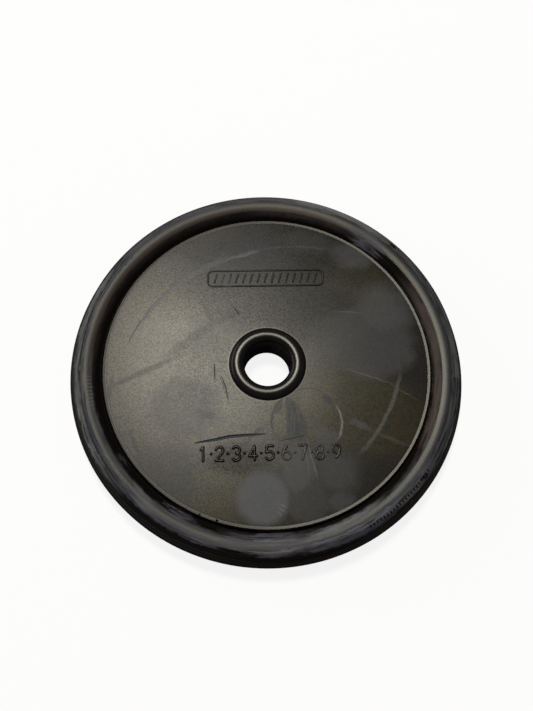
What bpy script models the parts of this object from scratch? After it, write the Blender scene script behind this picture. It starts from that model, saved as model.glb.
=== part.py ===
"""Pump diaphragm: one moulded rubber disc, clamped at its rim and at its bore.

The piece is a single turned section. A flat round web carries a rounded sealing
lip round the bore on top and a hub below it. Its outer edge rises a little. A narrow
groove, with a fold of even wall under it, parts the web from the rim. The rim has a
steep inner flank, a shoulder, a gently domed crest, a land that slopes down outwards,
a small trim step and a side wall with draft.
Units are metres, +Z is up, and the foot of the hub stands on z = 0.
"""
import math

import bmesh
import bpy

# Bore and hub
BORE_DIAMETER = 0.0150
HUB_WALL = 0.0050
HUB_DEPTH = 0.01065
HUB_DRAFT = math.radians(3.0)
HUB_FOOT_ROUND = 0.0008
HUB_ROOT_ROUND = 0.0015

# Sealing lip round the bore, on the face
LIP_WIDTH = 0.0048
LIP_HEIGHT = 0.0015
LIP_CREST_OFFSET = 0.00238
LIP_CREST_ROUND = 0.0040
LIP_CREST_SLOPE = math.radians(8.0)
LIP_INNER_ROUND = 0.0020
LIP_OUTER_ROUND = 0.0022
LIP_FLANK = math.radians(56.0)
LIP_ROOT_ROUND = 0.0004

# Flat web
FACE_DIAMETER = 0.1055
WEB_THICKNESS = 0.0034
EDGE_RISE = 0.00014
EDGE_WIDTH = 0.0010
EDGE_FOOT_ROUND = 0.0006
EDGE_ROUND = 0.00035
FACE_FLANK = math.radians(65.0)

# Groove and the fold under it
GROOVE_DEPTH = 0.00147
GROOVE_ROUND = 0.00012
FOLD_WALL = 0.0028
FOLD_WIDTH = 0.0030
FOLD_SLOPE = math.radians(45.0)
FOLD_ROUND = 0.0012

# Rim: heights of the bead and of its underside are measured from the face
BEAD_FLANK = math.radians(52.0)
SHOULDER_HEIGHT = 0.0015
SHOULDER_ROUND = 0.0008
CREST_HEIGHT = 0.00194
CREST_SLOPE = math.radians(13.0)
CREST_ROUND = 0.0145
CREST_WIDTH = 0.00187
LAND_ROUND = 0.0008
LAND_WIDTH = 0.00225
LAND_SLOPE = math.radians(32.4)
STEP_DROP = 0.0003
STEP_WIDTH = 0.0003
RIM_SIDE = math.radians(68.5)
RIM_DEPTH = 0.0038
RIM_EDGE_ROUND = 0.0005

# Facets
TURN_STEPS = 72
ARC_STEP = math.radians(24.0)
SHARP_ANGLE = math.radians(28.0)


def clear_scene():
    for item in list(bpy.data.objects):
        bpy.data.objects.remove(item, do_unlink=True)


def run_for(drop, angle):
    """Horizontal run of a flank that drops by this much at this slope."""
    return drop / math.tan(angle)


def face_corners(face):
    """Corners of the top side, from the bore out to the trim step: radius, height, round."""
    bore = BORE_DIAMETER / 2.0
    lip_foot = bore + LIP_WIDTH
    lip_crest = bore + LIP_CREST_OFFSET
    lip_top = LIP_HEIGHT + LIP_CREST_ROUND * (1.0 / math.cos(LIP_CREST_SLOPE) - 1.0)
    fall, flank = math.tan(LIP_CREST_SLOPE), math.tan(LIP_FLANK)
    lip_inner_height = lip_top - LIP_CREST_OFFSET * fall
    lip_edge = (lip_foot * flank - lip_crest * fall - lip_top) / (flank - fall)
    lip_edge_height = (lip_foot - lip_edge) * flank
    disc_edge = FACE_DIAMETER / 2.0
    groove = disc_edge + run_for(EDGE_RISE + GROOVE_DEPTH, FACE_FLANK)
    shoulder = groove + run_for(GROOVE_DEPTH + SHOULDER_HEIGHT, BEAD_FLANK)
    crest = shoulder + run_for(CREST_HEIGHT - SHOULDER_HEIGHT, CREST_SLOPE)
    land_start = crest + CREST_WIDTH
    land_end = land_start + LAND_WIDTH
    land_height = face + CREST_HEIGHT - LAND_WIDTH * math.tan(LAND_SLOPE)
    step_height = land_height - STEP_DROP
    return [
        (bore, face + lip_inner_height, LIP_INNER_ROUND),
        (lip_crest, face + lip_top, LIP_CREST_ROUND),
        (lip_edge, face + lip_edge_height, LIP_OUTER_ROUND),
        (lip_foot, face, LIP_ROOT_ROUND),
        (disc_edge - EDGE_WIDTH, face, EDGE_FOOT_ROUND),
        (disc_edge, face + EDGE_RISE, EDGE_ROUND),
        (groove, face - GROOVE_DEPTH, GROOVE_ROUND),
        (shoulder, face + SHOULDER_HEIGHT, SHOULDER_ROUND),
        (crest, face + CREST_HEIGHT, CREST_ROUND),
        (land_start, face + CREST_HEIGHT, LAND_ROUND),
        (land_end, land_height, 0.0),
        (land_end, step_height, 0.0),
        (land_end + STEP_WIDTH, step_height, 0.0),
    ]


def under_corners(face, top):
    """Corners of the side wall and the underside, from the rim in to the bore."""
    groove = top[6][0]
    wall_top, wall_height = top[-1][0], top[-1][1]
    rim_bottom = face - RIM_DEPTH
    rim_edge = wall_top + run_for(wall_height - rim_bottom, RIM_SIDE)
    web_bottom = face - WEB_THICKNESS
    fold_bottom = face - GROOVE_DEPTH - FOLD_WALL
    fold_out = groove + FOLD_WIDTH / 2.0
    fold_in = groove - FOLD_WIDTH / 2.0
    bore = BORE_DIAMETER / 2.0
    hub_foot = bore + HUB_WALL
    hub_root = hub_foot + (HUB_DEPTH - WEB_THICKNESS) * math.tan(HUB_DRAFT)
    return [
        (rim_edge, rim_bottom, RIM_EDGE_ROUND),
        (fold_out + run_for(rim_bottom - fold_bottom, FOLD_SLOPE), rim_bottom, FOLD_ROUND),
        (fold_out, fold_bottom, FOLD_ROUND),
        (fold_in, fold_bottom, FOLD_ROUND),
        (fold_in - run_for(web_bottom - fold_bottom, FOLD_SLOPE), web_bottom, FOLD_ROUND),
        (hub_root, web_bottom, HUB_ROOT_ROUND),
        (hub_foot, face - HUB_DEPTH, HUB_FOOT_ROUND),
        (bore, face - HUB_DEPTH, HUB_FOOT_ROUND),
    ]


def corner_turn(before, corner, after):
    """Directions into and out of a corner, and the angle it turns through."""
    into = (corner[0] - before[0], corner[1] - before[1])
    out = (after[0] - corner[0], after[1] - corner[1])
    in_length = math.hypot(*into)
    out_length = math.hypot(*out)
    into = (into[0] / in_length, into[1] / in_length)
    out = (out[0] / out_length, out[1] / out_length)
    cross = into[0] * out[1] - into[1] * out[0]
    dot = into[0] * out[0] + into[1] * out[1]
    return into, out, math.atan2(cross, dot), out_length


def rounded_outline(corners):
    """Closed outline with each corner rounded by a tangent arc that its two sides have room for."""
    count = len(corners)
    turns = []
    for i in range(count):
        turns.append(corner_turn(corners[i - 1], corners[i], corners[(i + 1) % count]))
    wanted = [corners[i][2] * math.tan(abs(turns[i][2]) / 2.0) for i in range(count)]
    share = [1.0] * count
    for i in range(count):
        after = (i + 1) % count
        needed = wanted[i] + wanted[after]
        room = turns[i][3]
        if needed > room:
            share[i] = min(share[i], room / needed)
            share[after] = min(share[after], room / needed)
    outline = []
    for i, (radius, height, corner_round) in enumerate(corners):
        into, out, angle, _ = turns[i]
        arc = corner_round * share[i]
        if arc == 0.0:
            outline.append((radius, height))
            continue
        back = wanted[i] * share[i]
        start = (radius - into[0] * back, height - into[1] * back)
        side = math.copysign(1.0, angle)
        centre = (start[0] - into[1] * arc * side, start[1] + into[0] * arc * side)
        steps = max(2, math.ceil(abs(angle) / ARC_STEP))
        for k in range(steps + 1):
            turn = angle * k / steps
            arm = (start[0] - centre[0], start[1] - centre[1])
            outline.append((
                centre[0] + arm[0] * math.cos(turn) - arm[1] * math.sin(turn),
                centre[1] + arm[0] * math.sin(turn) + arm[1] * math.cos(turn),
            ))
    return outline


def rubber_material():
    material = bpy.data.materials.new("moulded_rubber")
    material.use_nodes = True
    shader = material.node_tree.nodes["Principled BSDF"]
    shader.inputs["Base Color"].default_value = (0.030, 0.028, 0.024, 1.0)
    shader.inputs["Roughness"].default_value = 0.45
    shader.inputs["Metallic"].default_value = 0.0
    return material


def turned_piece(name, outline, material):
    """Spin a closed outline in the XZ plane once round Z into one closed body."""
    shape = bmesh.new()
    ring = [shape.verts.new((radius, 0.0, height)) for radius, height in outline]
    edges = [shape.edges.new((ring[i - 1], ring[i])) for i in range(len(ring))]
    bmesh.ops.spin(
        shape,
        geom=ring + edges,
        cent=(0.0, 0.0, 0.0),
        axis=(0.0, 0.0, 1.0),
        angle=2.0 * math.pi,
        steps=TURN_STEPS,
        use_merge=True,
    )
    bmesh.ops.remove_doubles(shape, verts=shape.verts, dist=1e-6)
    bmesh.ops.recalc_face_normals(shape, faces=shape.faces)
    mesh = bpy.data.meshes.new(name)
    shape.to_mesh(mesh)
    shape.free()
    mesh.shade_smooth()
    mesh.set_sharp_from_angle(angle=SHARP_ANGLE)
    mesh.materials.append(material)
    piece = bpy.data.objects.new(name, mesh)
    bpy.context.collection.objects.link(piece)
    return piece


def build():
    clear_scene()
    face = HUB_DEPTH
    top = face_corners(face)
    section = top + under_corners(face, top)
    turned_piece("diaphragm", rounded_outline(section), rubber_material())


build()
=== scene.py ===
"""Looks of a pump diaphragm: one moulded rubber disc, lying face up on a pale floor.

The moulding repeats the turned section of the CAD part with finer arcs. Raised figures,
a ribbed bar, a gouge and small cuts are part of its mesh. Bloom, smears and scuffs are a
procedural rubber in Object coordinates. Its films also paint shade in the bore, the groove,
the cuts, on the side wall and over parts of the face, light on the flank below the rim's
crest, a glow in the bore, a reflection on the lip and a tint in the face's highlight. Sizes
are in metres, and in millimetres where a name ends in MM or a table says so.
"""

import math

import bmesh
import bpy
import numpy as np
from mathutils import Matrix, Quaternion, Vector


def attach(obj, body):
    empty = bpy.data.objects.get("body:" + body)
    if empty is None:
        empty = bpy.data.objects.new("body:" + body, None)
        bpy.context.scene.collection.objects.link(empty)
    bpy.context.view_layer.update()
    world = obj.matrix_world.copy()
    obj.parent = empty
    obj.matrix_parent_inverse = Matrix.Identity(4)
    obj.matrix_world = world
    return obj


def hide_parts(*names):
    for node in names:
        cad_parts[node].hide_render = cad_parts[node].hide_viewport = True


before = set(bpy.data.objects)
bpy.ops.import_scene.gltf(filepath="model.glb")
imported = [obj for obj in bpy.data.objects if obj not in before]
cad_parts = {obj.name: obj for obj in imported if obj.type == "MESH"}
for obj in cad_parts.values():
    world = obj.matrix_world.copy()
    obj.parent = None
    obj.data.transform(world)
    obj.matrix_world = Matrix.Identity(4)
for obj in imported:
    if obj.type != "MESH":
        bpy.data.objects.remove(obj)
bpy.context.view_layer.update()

MM = 0.001

# Bore and hub, as in the CAD part
BORE_DIAMETER = 0.0150
HUB_WALL = 0.0050
HUB_DEPTH = 0.01065
HUB_DRAFT = math.radians(3.0)
HUB_FOOT_ROUND = 0.0008
HUB_ROOT_ROUND = 0.0015

# Sealing lip
LIP_WIDTH = 0.0048
LIP_HEIGHT = 0.0015
LIP_CREST_OFFSET = 0.00238
LIP_CREST_ROUND = 0.0040
LIP_CREST_SLOPE = math.radians(8.0)
LIP_INNER_ROUND = 0.0020
LIP_OUTER_ROUND = 0.0022
LIP_FLANK = math.radians(56.0)
LIP_ROOT_ROUND = 0.0004

# Flat web
FACE_DIAMETER = 0.1055
WEB_THICKNESS = 0.0034
EDGE_RISE = 0.00014
EDGE_WIDTH = 0.0010
EDGE_FOOT_ROUND = 0.0006
EDGE_ROUND = 0.00035
FACE_FLANK = math.radians(65.0)

# Groove and the fold under it
GROOVE_DEPTH = 0.00147
GROOVE_ROUND = 0.00012
FOLD_WALL = 0.0028
FOLD_WIDTH = 0.0030
FOLD_SLOPE = math.radians(45.0)
FOLD_ROUND = 0.0012

# Rim
BEAD_FLANK = math.radians(52.0)
SHOULDER_HEIGHT = 0.0015
SHOULDER_ROUND = 0.0008
CREST_HEIGHT = 0.00194
CREST_SLOPE = math.radians(13.0)
CREST_ROUND = 0.0145
CREST_WIDTH = 0.00187
LAND_ROUND = 0.0008
LAND_WIDTH = 0.00225
LAND_SLOPE = math.radians(32.4)
STEP_DROP = 0.0003
STEP_WIDTH = 0.0003
RIM_SIDE = math.radians(68.5)
RIM_DEPTH = 0.0038
RIM_EDGE_ROUND = 0.0005

# Facets of the fine moulding
TURN_STEPS = 192
ARC_STEP = math.radians(6.0)
ARC_FACET = 0.00025
SHARP_ANGLE = math.radians(32.0)

# Camera: place, the point it looks at and its roll
CAMERA_PLACE = (-0.008829, -0.084004, 0.238643)
CAMERA_AIM = (-0.000244, 0.002794, HUB_DEPTH)
CAMERA_ROLL = math.radians(4.344)
CAMERA_LENS_MM = 38.246
CAMERA_SENSOR_MM = 36.0

# The marks of wear were measured with the line of figures turned by this much
WEAR_TURN = math.radians(6.0)

# Places of two corners in the list that face_corners gives
GROOVE_CORNER = 6
LAND_CORNER = 9


def run_for(drop, angle):
    """Horizontal run of a flank that drops by this much at this slope."""
    return drop / math.tan(angle)


def face_corners(face):
    """Corners of the top side, from the bore out to the trim step: radius, height, round."""
    bore = BORE_DIAMETER / 2.0
    lip_foot = bore + LIP_WIDTH
    lip_crest = bore + LIP_CREST_OFFSET
    lip_top = LIP_HEIGHT + LIP_CREST_ROUND * (1.0 / math.cos(LIP_CREST_SLOPE) - 1.0)
    fall, flank = math.tan(LIP_CREST_SLOPE), math.tan(LIP_FLANK)
    lip_inner_height = lip_top - LIP_CREST_OFFSET * fall
    lip_edge = (lip_foot * flank - lip_crest * fall - lip_top) / (flank - fall)
    lip_edge_height = (lip_foot - lip_edge) * flank
    disc_edge = FACE_DIAMETER / 2.0
    groove = disc_edge + run_for(EDGE_RISE + GROOVE_DEPTH, FACE_FLANK)
    shoulder = groove + run_for(GROOVE_DEPTH + SHOULDER_HEIGHT, BEAD_FLANK)
    crest = shoulder + run_for(CREST_HEIGHT - SHOULDER_HEIGHT, CREST_SLOPE)
    land_start = crest + CREST_WIDTH
    land_end = land_start + LAND_WIDTH
    land_height = face + CREST_HEIGHT - LAND_WIDTH * math.tan(LAND_SLOPE)
    step_height = land_height - STEP_DROP
    return [
        (bore, face + lip_inner_height, LIP_INNER_ROUND),
        (lip_crest, face + lip_top, LIP_CREST_ROUND),
        (lip_edge, face + lip_edge_height, LIP_OUTER_ROUND),
        (lip_foot, face, LIP_ROOT_ROUND),
        (disc_edge - EDGE_WIDTH, face, EDGE_FOOT_ROUND),
        (disc_edge, face + EDGE_RISE, EDGE_ROUND),
        (groove, face - GROOVE_DEPTH, GROOVE_ROUND),
        (shoulder, face + SHOULDER_HEIGHT, SHOULDER_ROUND),
        (crest, face + CREST_HEIGHT, CREST_ROUND),
        (land_start, face + CREST_HEIGHT, LAND_ROUND),
        (land_end, land_height, 0.0),
        (land_end, step_height, 0.0),
        (land_end + STEP_WIDTH, step_height, 0.0),
    ]


def under_corners(face, top):
    """Corners of the side wall and the underside, from the rim in to the bore."""
    groove = top[GROOVE_CORNER][0]
    wall_top, wall_height = top[-1][0], top[-1][1]
    rim_bottom = face - RIM_DEPTH
    rim_edge = wall_top + run_for(wall_height - rim_bottom, RIM_SIDE)
    web_bottom = face - WEB_THICKNESS
    fold_bottom = face - GROOVE_DEPTH - FOLD_WALL
    fold_out = groove + FOLD_WIDTH / 2.0
    fold_in = groove - FOLD_WIDTH / 2.0
    bore = BORE_DIAMETER / 2.0
    hub_foot = bore + HUB_WALL
    hub_root = hub_foot + (HUB_DEPTH - WEB_THICKNESS) * math.tan(HUB_DRAFT)
    return [
        (rim_edge, rim_bottom, RIM_EDGE_ROUND),
        (fold_out + run_for(rim_bottom - fold_bottom, FOLD_SLOPE), rim_bottom, FOLD_ROUND),
        (fold_out, fold_bottom, FOLD_ROUND),
        (fold_in, fold_bottom, FOLD_ROUND),
        (fold_in - run_for(web_bottom - fold_bottom, FOLD_SLOPE), web_bottom, FOLD_ROUND),
        (hub_root, web_bottom, HUB_ROOT_ROUND),
        (hub_foot, face - HUB_DEPTH, HUB_FOOT_ROUND),
        (bore, face - HUB_DEPTH, HUB_FOOT_ROUND),
    ]


def corner_turn(before, corner, after):
    """Directions into and out of a corner, and the angle it turns through."""
    into = Vector(corner[:2]) - Vector(before[:2])
    out = Vector(after[:2]) - Vector(corner[:2])
    room = out.length
    into.normalize()
    out.normalize()
    cross = into.x * out.y - into.y * out.x
    return into, out, math.atan2(cross, into.dot(out)), room


def rounded_outline(corners):
    """Closed outline with each corner rounded by a tangent arc that its two sides have room for."""
    count = len(corners)
    turns = []
    for i in range(count):
        turns.append(corner_turn(corners[i - 1], corners[i], corners[(i + 1) % count]))
    wanted = [corners[i][2] * math.tan(abs(turns[i][2]) / 2.0) for i in range(count)]
    share = [1.0] * count
    for i in range(count):
        after = (i + 1) % count
        needed = wanted[i] + wanted[after]
        room = turns[i][3]
        if needed > room:
            share[i] = min(share[i], room / needed)
            share[after] = min(share[after], room / needed)
    outline = []
    for i, (radius, height, corner_round) in enumerate(corners):
        into, _, angle, _ = turns[i]
        arc = corner_round * share[i]
        if arc == 0.0:
            outline.append(Vector((radius, height)))
            continue
        start = Vector((radius, height)) - into * wanted[i] * share[i]
        side = math.copysign(1.0, angle)
        centre = start + Vector((-into.y, into.x)) * arc * side
        steps = max(2, math.ceil(abs(angle) / ARC_STEP), math.ceil(abs(angle) * arc / ARC_FACET))
        for k in range(steps + 1):
            turn = Matrix.Rotation(angle * k / steps, 2)
            outline.append(centre + turn @ (start - centre))
    return outline


def piece_from(name, shape):
    """A mesh object at the origin from a bmesh, with its faces turned outwards."""
    bmesh.ops.recalc_face_normals(shape, faces=shape.faces)
    mesh = bpy.data.meshes.new(name)
    shape.to_mesh(mesh)
    shape.free()
    piece = bpy.data.objects.new(name, mesh)
    bpy.context.collection.objects.link(piece)
    return piece


def turned_moulding(name):
    """The whole section, spun once round the bore's axis."""
    top = face_corners(HUB_DEPTH)
    outline = rounded_outline(top + under_corners(HUB_DEPTH, top))
    shape = bmesh.new()
    ring = [shape.verts.new((point.x, 0.0, point.y)) for point in outline]
    edges = [shape.edges.new((ring[i - 1], ring[i])) for i in range(len(ring))]
    bmesh.ops.spin(
        shape,
        geom=ring + edges,
        cent=(0.0, 0.0, 0.0),
        axis=(0.0, 0.0, 1.0),
        angle=2.0 * math.pi,
        steps=TURN_STEPS,
        use_merge=True,
    )
    bmesh.ops.remove_doubles(shape, verts=shape.verts, dist=1e-6)
    return piece_from(name, shape)


# Raised marks: half-round strokes on the face, in millimetres
FIGURE_LINE_Y = -31.45
FIGURE_START_X = -21.9
FIGURE_PITCH = 5.15
FIGURE_TALL = 4.3
FIGURE_WIDE = 2.3
FIGURE_UPPER_BOWL = 1.02
FIGURE_TAIL = 1.25
FIGURE_HALF_STROKE = 0.50
FIGURE_HEIGHT = 0.34
DOT_LIFT = 2.15
BAR_CENTRE = (0.2, 30.65)
BAR_HALF_LENGTH = 19.3
BAR_HALF_DEPTH = 2.85
BAR_ROUND = 1.6
BAR_RIBS = 15
BAR_RIB_LEAN = 0.85
BAR_RIB_GAP = 1.35
BAR_HALF_STROKE = 0.36
BAR_HEIGHT = 0.28
RELIEF_CELL = 0.12
RELIEF_FLANK = 3.0
RELIEF_TURNOVER = 0.93
RELIEF_SINK = 0.16
RELIEF_ROOT = 0.45


def bow(centre, radii, start, end):
    """Points along part of an ellipse, from one angle to another in degrees."""
    steps = max(3, round(abs(end - start) / 20.0))
    points = []
    for k in range(steps + 1):
        angle = math.radians(start + (end - start) * k / steps)
        points.append((
            centre[0] + radii[0] * math.cos(angle),
            centre[1] + radii[1] * math.sin(angle),
        ))
    return points


def figure_strokes():
    """Plain single-line figures 1 to 9, each a list of strokes from its lower left corner."""
    wide, tall = FIGURE_WIDE, FIGURE_TALL
    middle = wide / 2.0
    upper = FIGURE_UPPER_BOWL
    lower = tall / 2.0 - upper
    tail = FIGURE_TAIL
    return [
        [[(middle - 0.55, tall - 0.75), (middle + 0.1, tall), (middle + 0.1, 0.0)]],
        [bow((middle, tall - middle), (middle, middle), 165, -38) + [(0.0, 0.0), (wide, 0.0)]],
        [
            bow((middle, tall - upper), (middle - 0.05, upper), 150, -90),
            bow((middle, tall / 2.0 - lower), (middle, lower), 90, -150),
        ],
        [[(wide * 0.72, 0.0), (wide * 0.72, tall), (0.0, tail), (wide, tail)]],
        [
            [(wide - 0.15, tall), (0.3, tall), (0.15, tall * 0.55)],
            bow((middle - 0.05, tail + 0.05), (middle + 0.05, tail + 0.05), 128, -145),
        ],
        [
            bow((middle, tail), (middle, tail), 0, 360),
            bow((wide + 0.1, tail), (wide + 0.1, tall - tail), 180, 118),
        ],
        [[(0.0, tall), (wide, tall), (middle - 0.3, 0.0)]],
        [
            bow((middle, tall - upper), (middle - 0.12, upper), 0, 360),
            bow((middle, tall / 2.0 - lower), (middle, lower), 0, 360),
        ],
        [
            bow((middle, tall - tail), (middle, tail), 0, 360),
            bow((-0.1, tall - tail), (wide + 0.1, tall - tail), 0, -62),
        ],
    ]


def number_line():
    """The figures in a row with a round dot between each two, as on a dial."""
    strokes = []
    for place, figure in enumerate(figure_strokes()):
        left = FIGURE_START_X + place * FIGURE_PITCH
        for stroke in figure:
            strokes.append([(left + x, FIGURE_LINE_Y + y) for x, y in stroke])
        if place:
            dot = left - (FIGURE_PITCH - FIGURE_WIDE) / 2.0
            height = FIGURE_LINE_Y + DOT_LIFT
            strokes.append([(dot - 0.02, height), (dot + 0.02, height)])
    return strokes


def ribbed_bar():
    """A rounded frame filled with slanted ribs."""
    x, y = BAR_CENTRE
    across = BAR_HALF_LENGTH - BAR_ROUND
    up = BAR_HALF_DEPTH - BAR_ROUND
    corners = [(across, up, 0), (-across, up, 90), (-across, -up, 180), (across, -up, 270)]
    loop = []
    for corner_x, corner_y, start in corners:
        centre = (x + corner_x, y + corner_y)
        loop += bow(centre, (BAR_ROUND, BAR_ROUND), start, start + 90)
    strokes = [loop + loop[:1]]
    reach = BAR_HALF_DEPTH - BAR_RIB_GAP
    pitch = 2.0 * (BAR_HALF_LENGTH - BAR_RIB_GAP) / BAR_RIBS
    for rib in range(BAR_RIBS):
        middle = x + (rib - (BAR_RIBS - 1) / 2.0) * pitch
        strokes.append([
            (middle - BAR_RIB_LEAN / 2.0, y - reach),
            (middle + BAR_RIB_LEAN / 2.0, y + reach),
        ])
    return strokes


def distance_to_strokes(points, strokes):
    """Distance in the plane from each point to the nearest stroke."""
    nearest = np.full(len(points), np.inf)
    for stroke in strokes:
        for start, end in zip(stroke, stroke[1:]):
            along = np.subtract(end, start)
            reach = points - np.array(start)
            share = np.clip(reach @ along / (along @ along), 0.0, 1.0)
            gap = reach - share[:, None] * along
            nearest = np.minimum(nearest, np.hypot(gap[:, 0], gap[:, 1]))
    return nearest


def half_round(distance, half_stroke, height):
    """Height of a half-round stroke this far from its line, with a flank that runs on down."""
    share = np.minimum(distance / half_stroke, RELIEF_TURNOVER)
    crown = height * np.sqrt(1.0 - share ** 2)
    over = np.maximum(distance - RELIEF_TURNOVER * half_stroke, 0.0)
    return crown - RELIEF_FLANK * over


def raised_strokes(name, strokes, half_stroke, height):
    """Half-round strokes that stand out of the face and are rooted in it."""
    ends = np.array([point for stroke in strokes for point in stroke])
    margin = 2.0 * half_stroke
    low, high = ends.min(0) - margin, ends.max(0) + margin
    wide, deep = high - low
    shape = bmesh.new()
    bmesh.ops.create_grid(
        shape,
        x_segments=round(wide / RELIEF_CELL),
        y_segments=round(deep / RELIEF_CELL),
        size=0.5,
    )
    bmesh.ops.scale(shape, vec=(wide, deep, 1.0), verts=shape.verts)
    bmesh.ops.translate(shape, vec=(*(low + high) / 2.0, 0.0), verts=shape.verts)
    places = np.array([vert.co.xy for vert in shape.verts])
    heights = half_round(distance_to_strokes(places, strokes), half_stroke, height)
    for vert, lift in zip(shape.verts, heights):
        vert.co.z = lift
    outside = [vert for vert in shape.verts if vert.co.z < -RELIEF_SINK]
    bmesh.ops.delete(shape, geom=outside, context="VERTS")
    sunk = bmesh.ops.extrude_face_region(shape, geom=shape.faces[:])["geom"]
    for item in sunk:
        if isinstance(item, bmesh.types.BMVert):
            item.co.z = -RELIEF_ROOT
    bmesh.ops.scale(shape, vec=(MM, MM, MM), verts=shape.verts)
    bmesh.ops.translate(shape, vec=(0.0, 0.0, HUB_DEPTH), verts=shape.verts)
    return piece_from(name, shape)


# Slivers cut out of the face: points of the path, half width and depth, in millimetres
GOUGE_PATH = [(-23.6, -25.8), (-17.0, -24.8), (-12.6, -23.9), (-6.5, -23.5), (-0.9, -23.3)]
SLIVERS = [
    (GOUGE_PATH, 0.52, 0.40),
    ([(3.0, -25.6), (7.4, -24.8), (11.4, -23.8)], 0.14, 0.10),
    ([(-17.1, 0.4), (-17.0, -2.0), (-16.9, -5.1)], 0.15, 0.10),
    ([(-14.9, -3.7), (-13.4, -8.0), (-12.7, -12.4)], 0.15, 0.09),
    ([(-10.5, 19.8), (-8.6, 17.2)], 0.18, 0.11),
]
# Nicks at the edge of the face, on the land and at the trim step: angle in degrees,
# radius, height over the face, and half sizes along, across and down
NICKS = [
    (244.7, 54.0, -0.9, 0.55, 0.45, 0.7),
    (251.6, 52.3, 0.0, 0.30, 0.40, 0.35),
    (257.6, 52.2, 0.0, 0.40, 0.45, 0.40),
    (246.5, 52.6, 0.0, 0.45, 0.25, 0.3),
    (45.5, 61.9, 0.5, 1.1, 0.45, 0.35),
    (319.0, 61.7, 0.6, 1.2, 0.6, 0.45),
]
TOOTH_START = 305.0
TOOTH_END = 329.0
TOOTH_COUNT = 21
TOOTH_RADIUS = 60.2
TOOTH_HEIGHT = 1.56
TOOTH_HALF_SIZE = (0.22, 1.15, 0.40)


def add_sliver(shape, path, half_width, depth):
    """A closed sliver along a path on the face, pointed at both ends, to cut with."""
    points = [Vector((x, y, 0.0)) for x, y in path]
    lengths = [0.0]
    for before, after in zip(points, points[1:]):
        lengths.append(lengths[-1] + (after - before).length)
    made = bmesh.ops.create_uvsphere(shape, u_segments=12, v_segments=28, radius=1.0)["verts"]
    for vert in made:
        reach = (0.5 + 0.5 * vert.co.z) * lengths[-1]
        span = 0
        while span < len(points) - 2 and reach > lengths[span + 1]:
            span += 1
        along = points[span + 1] - points[span]
        share = (reach - lengths[span]) / along.length
        side = Vector((-along.y, along.x, 0.0)).normalized()
        place = points[span] + along * share + side * vert.co.x * half_width
        vert.co = (place + Vector((0.0, 0.0, vert.co.y * depth))) * MM
        vert.co.z += HUB_DEPTH


def add_nick(shape, angle, radius, height, along, across, down):
    """A closed bean, long along the rim, to cut with."""
    made = bmesh.ops.create_icosphere(shape, subdivisions=2, radius=1.0)["verts"]
    bmesh.ops.scale(shape, vec=(across * MM, along * MM, down * MM), verts=made)
    place = Vector((radius * MM, 0.0, HUB_DEPTH + height * MM))
    bmesh.ops.translate(shape, vec=place, verts=made)
    turn = Matrix.Rotation(math.radians(angle) - WEAR_TURN, 3, "Z")
    bmesh.ops.rotate(shape, cent=(0.0, 0.0, 0.0), matrix=turn, verts=made)


def cutting_tool():
    """Every gouge, scratch, nick and tooth mark as one set of closed shells."""
    shape = bmesh.new()
    for path, half_width, depth in SLIVERS:
        add_sliver(shape, path, half_width, depth)
    for nick in NICKS:
        add_nick(shape, *nick)
    along, across, down = TOOTH_HALF_SIZE
    for tooth in range(TOOTH_COUNT):
        angle = TOOTH_START + (TOOTH_END - TOOTH_START) * tooth / (TOOTH_COUNT - 1)
        add_nick(shape, angle, TOOTH_RADIUS, TOOTH_HEIGHT, along, across, down)
    return piece_from("cutting_tool", shape)


def joined(piece, tool, operation):
    """Adds a tool's solid to the piece or cuts it away, and keeps the result as its mesh."""
    change = piece.modifiers.new(operation.lower(), "BOOLEAN")
    change.operation = operation
    change.solver = "EXACT"
    change.object = tool
    depsgraph = bpy.context.evaluated_depsgraph_get()
    made = bpy.data.meshes.new_from_object(piece.evaluated_get(depsgraph))
    piece.modifiers.remove(change)
    old = piece.data
    piece.data = made
    made.name = piece.name
    bpy.data.meshes.remove(old)
    bpy.data.objects.remove(tool, do_unlink=True)


def dressed_moulding():
    """The moulding with its raised marks and its cuts in one mesh."""
    moulding = turned_moulding("diaphragm_moulding")
    joined(moulding, cutting_tool(), "DIFFERENCE")
    figures = raised_strokes("figures", number_line(), FIGURE_HALF_STROKE, FIGURE_HEIGHT)
    joined(moulding, figures, "UNION")
    bar = raised_strokes("ribbed_bar", ribbed_bar(), BAR_HALF_STROKE, BAR_HEIGHT)
    joined(moulding, bar, "UNION")
    moulding.data.shade_smooth()
    moulding.data.set_sharp_from_angle(angle=SHARP_ANGLE)
    weighting = moulding.modifiers.new("weighted_normals", "WEIGHTED_NORMAL")
    weighting.keep_sharp = True
    return moulding


class Value:
    """One number that varies over a surface, so that sums on it add their Math nodes."""

    def __init__(self, finish, socket):
        self.finish = finish
        self.socket = socket

    def maths(self, operation, *others):
        sockets = {0: self}
        for place, other in enumerate(others, 1):
            sockets[place] = other
        return self.finish.node("ShaderNodeMath", {"operation": operation}, sockets)

    def __add__(self, other):
        return self.maths("ADD", other)

    __radd__ = __add__

    def __mul__(self, other):
        return self.maths("MULTIPLY", other)

    __rmul__ = __mul__

    def __sub__(self, other):
        return self.maths("SUBTRACT", other)

    def __rsub__(self, other):
        return (self * -1.0) + other

    def __abs__(self):
        return self.maths("ABSOLUTE")

    def larger(self, other):
        return self.maths("MAXIMUM", other)

    def rise(self, low, high):
        """A soft step from 0 below low to 1 above high, or falling where low is the larger."""
        start, end = (low, high) if low < high else (high, low)
        step = self.finish.node(
            "ShaderNodeMapRange",
            {"interpolation_type": "SMOOTHSTEP"},
            {"Value": self, "From Min": start, "From Max": end},
        )
        return step if low < high else 1.0 - step


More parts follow.
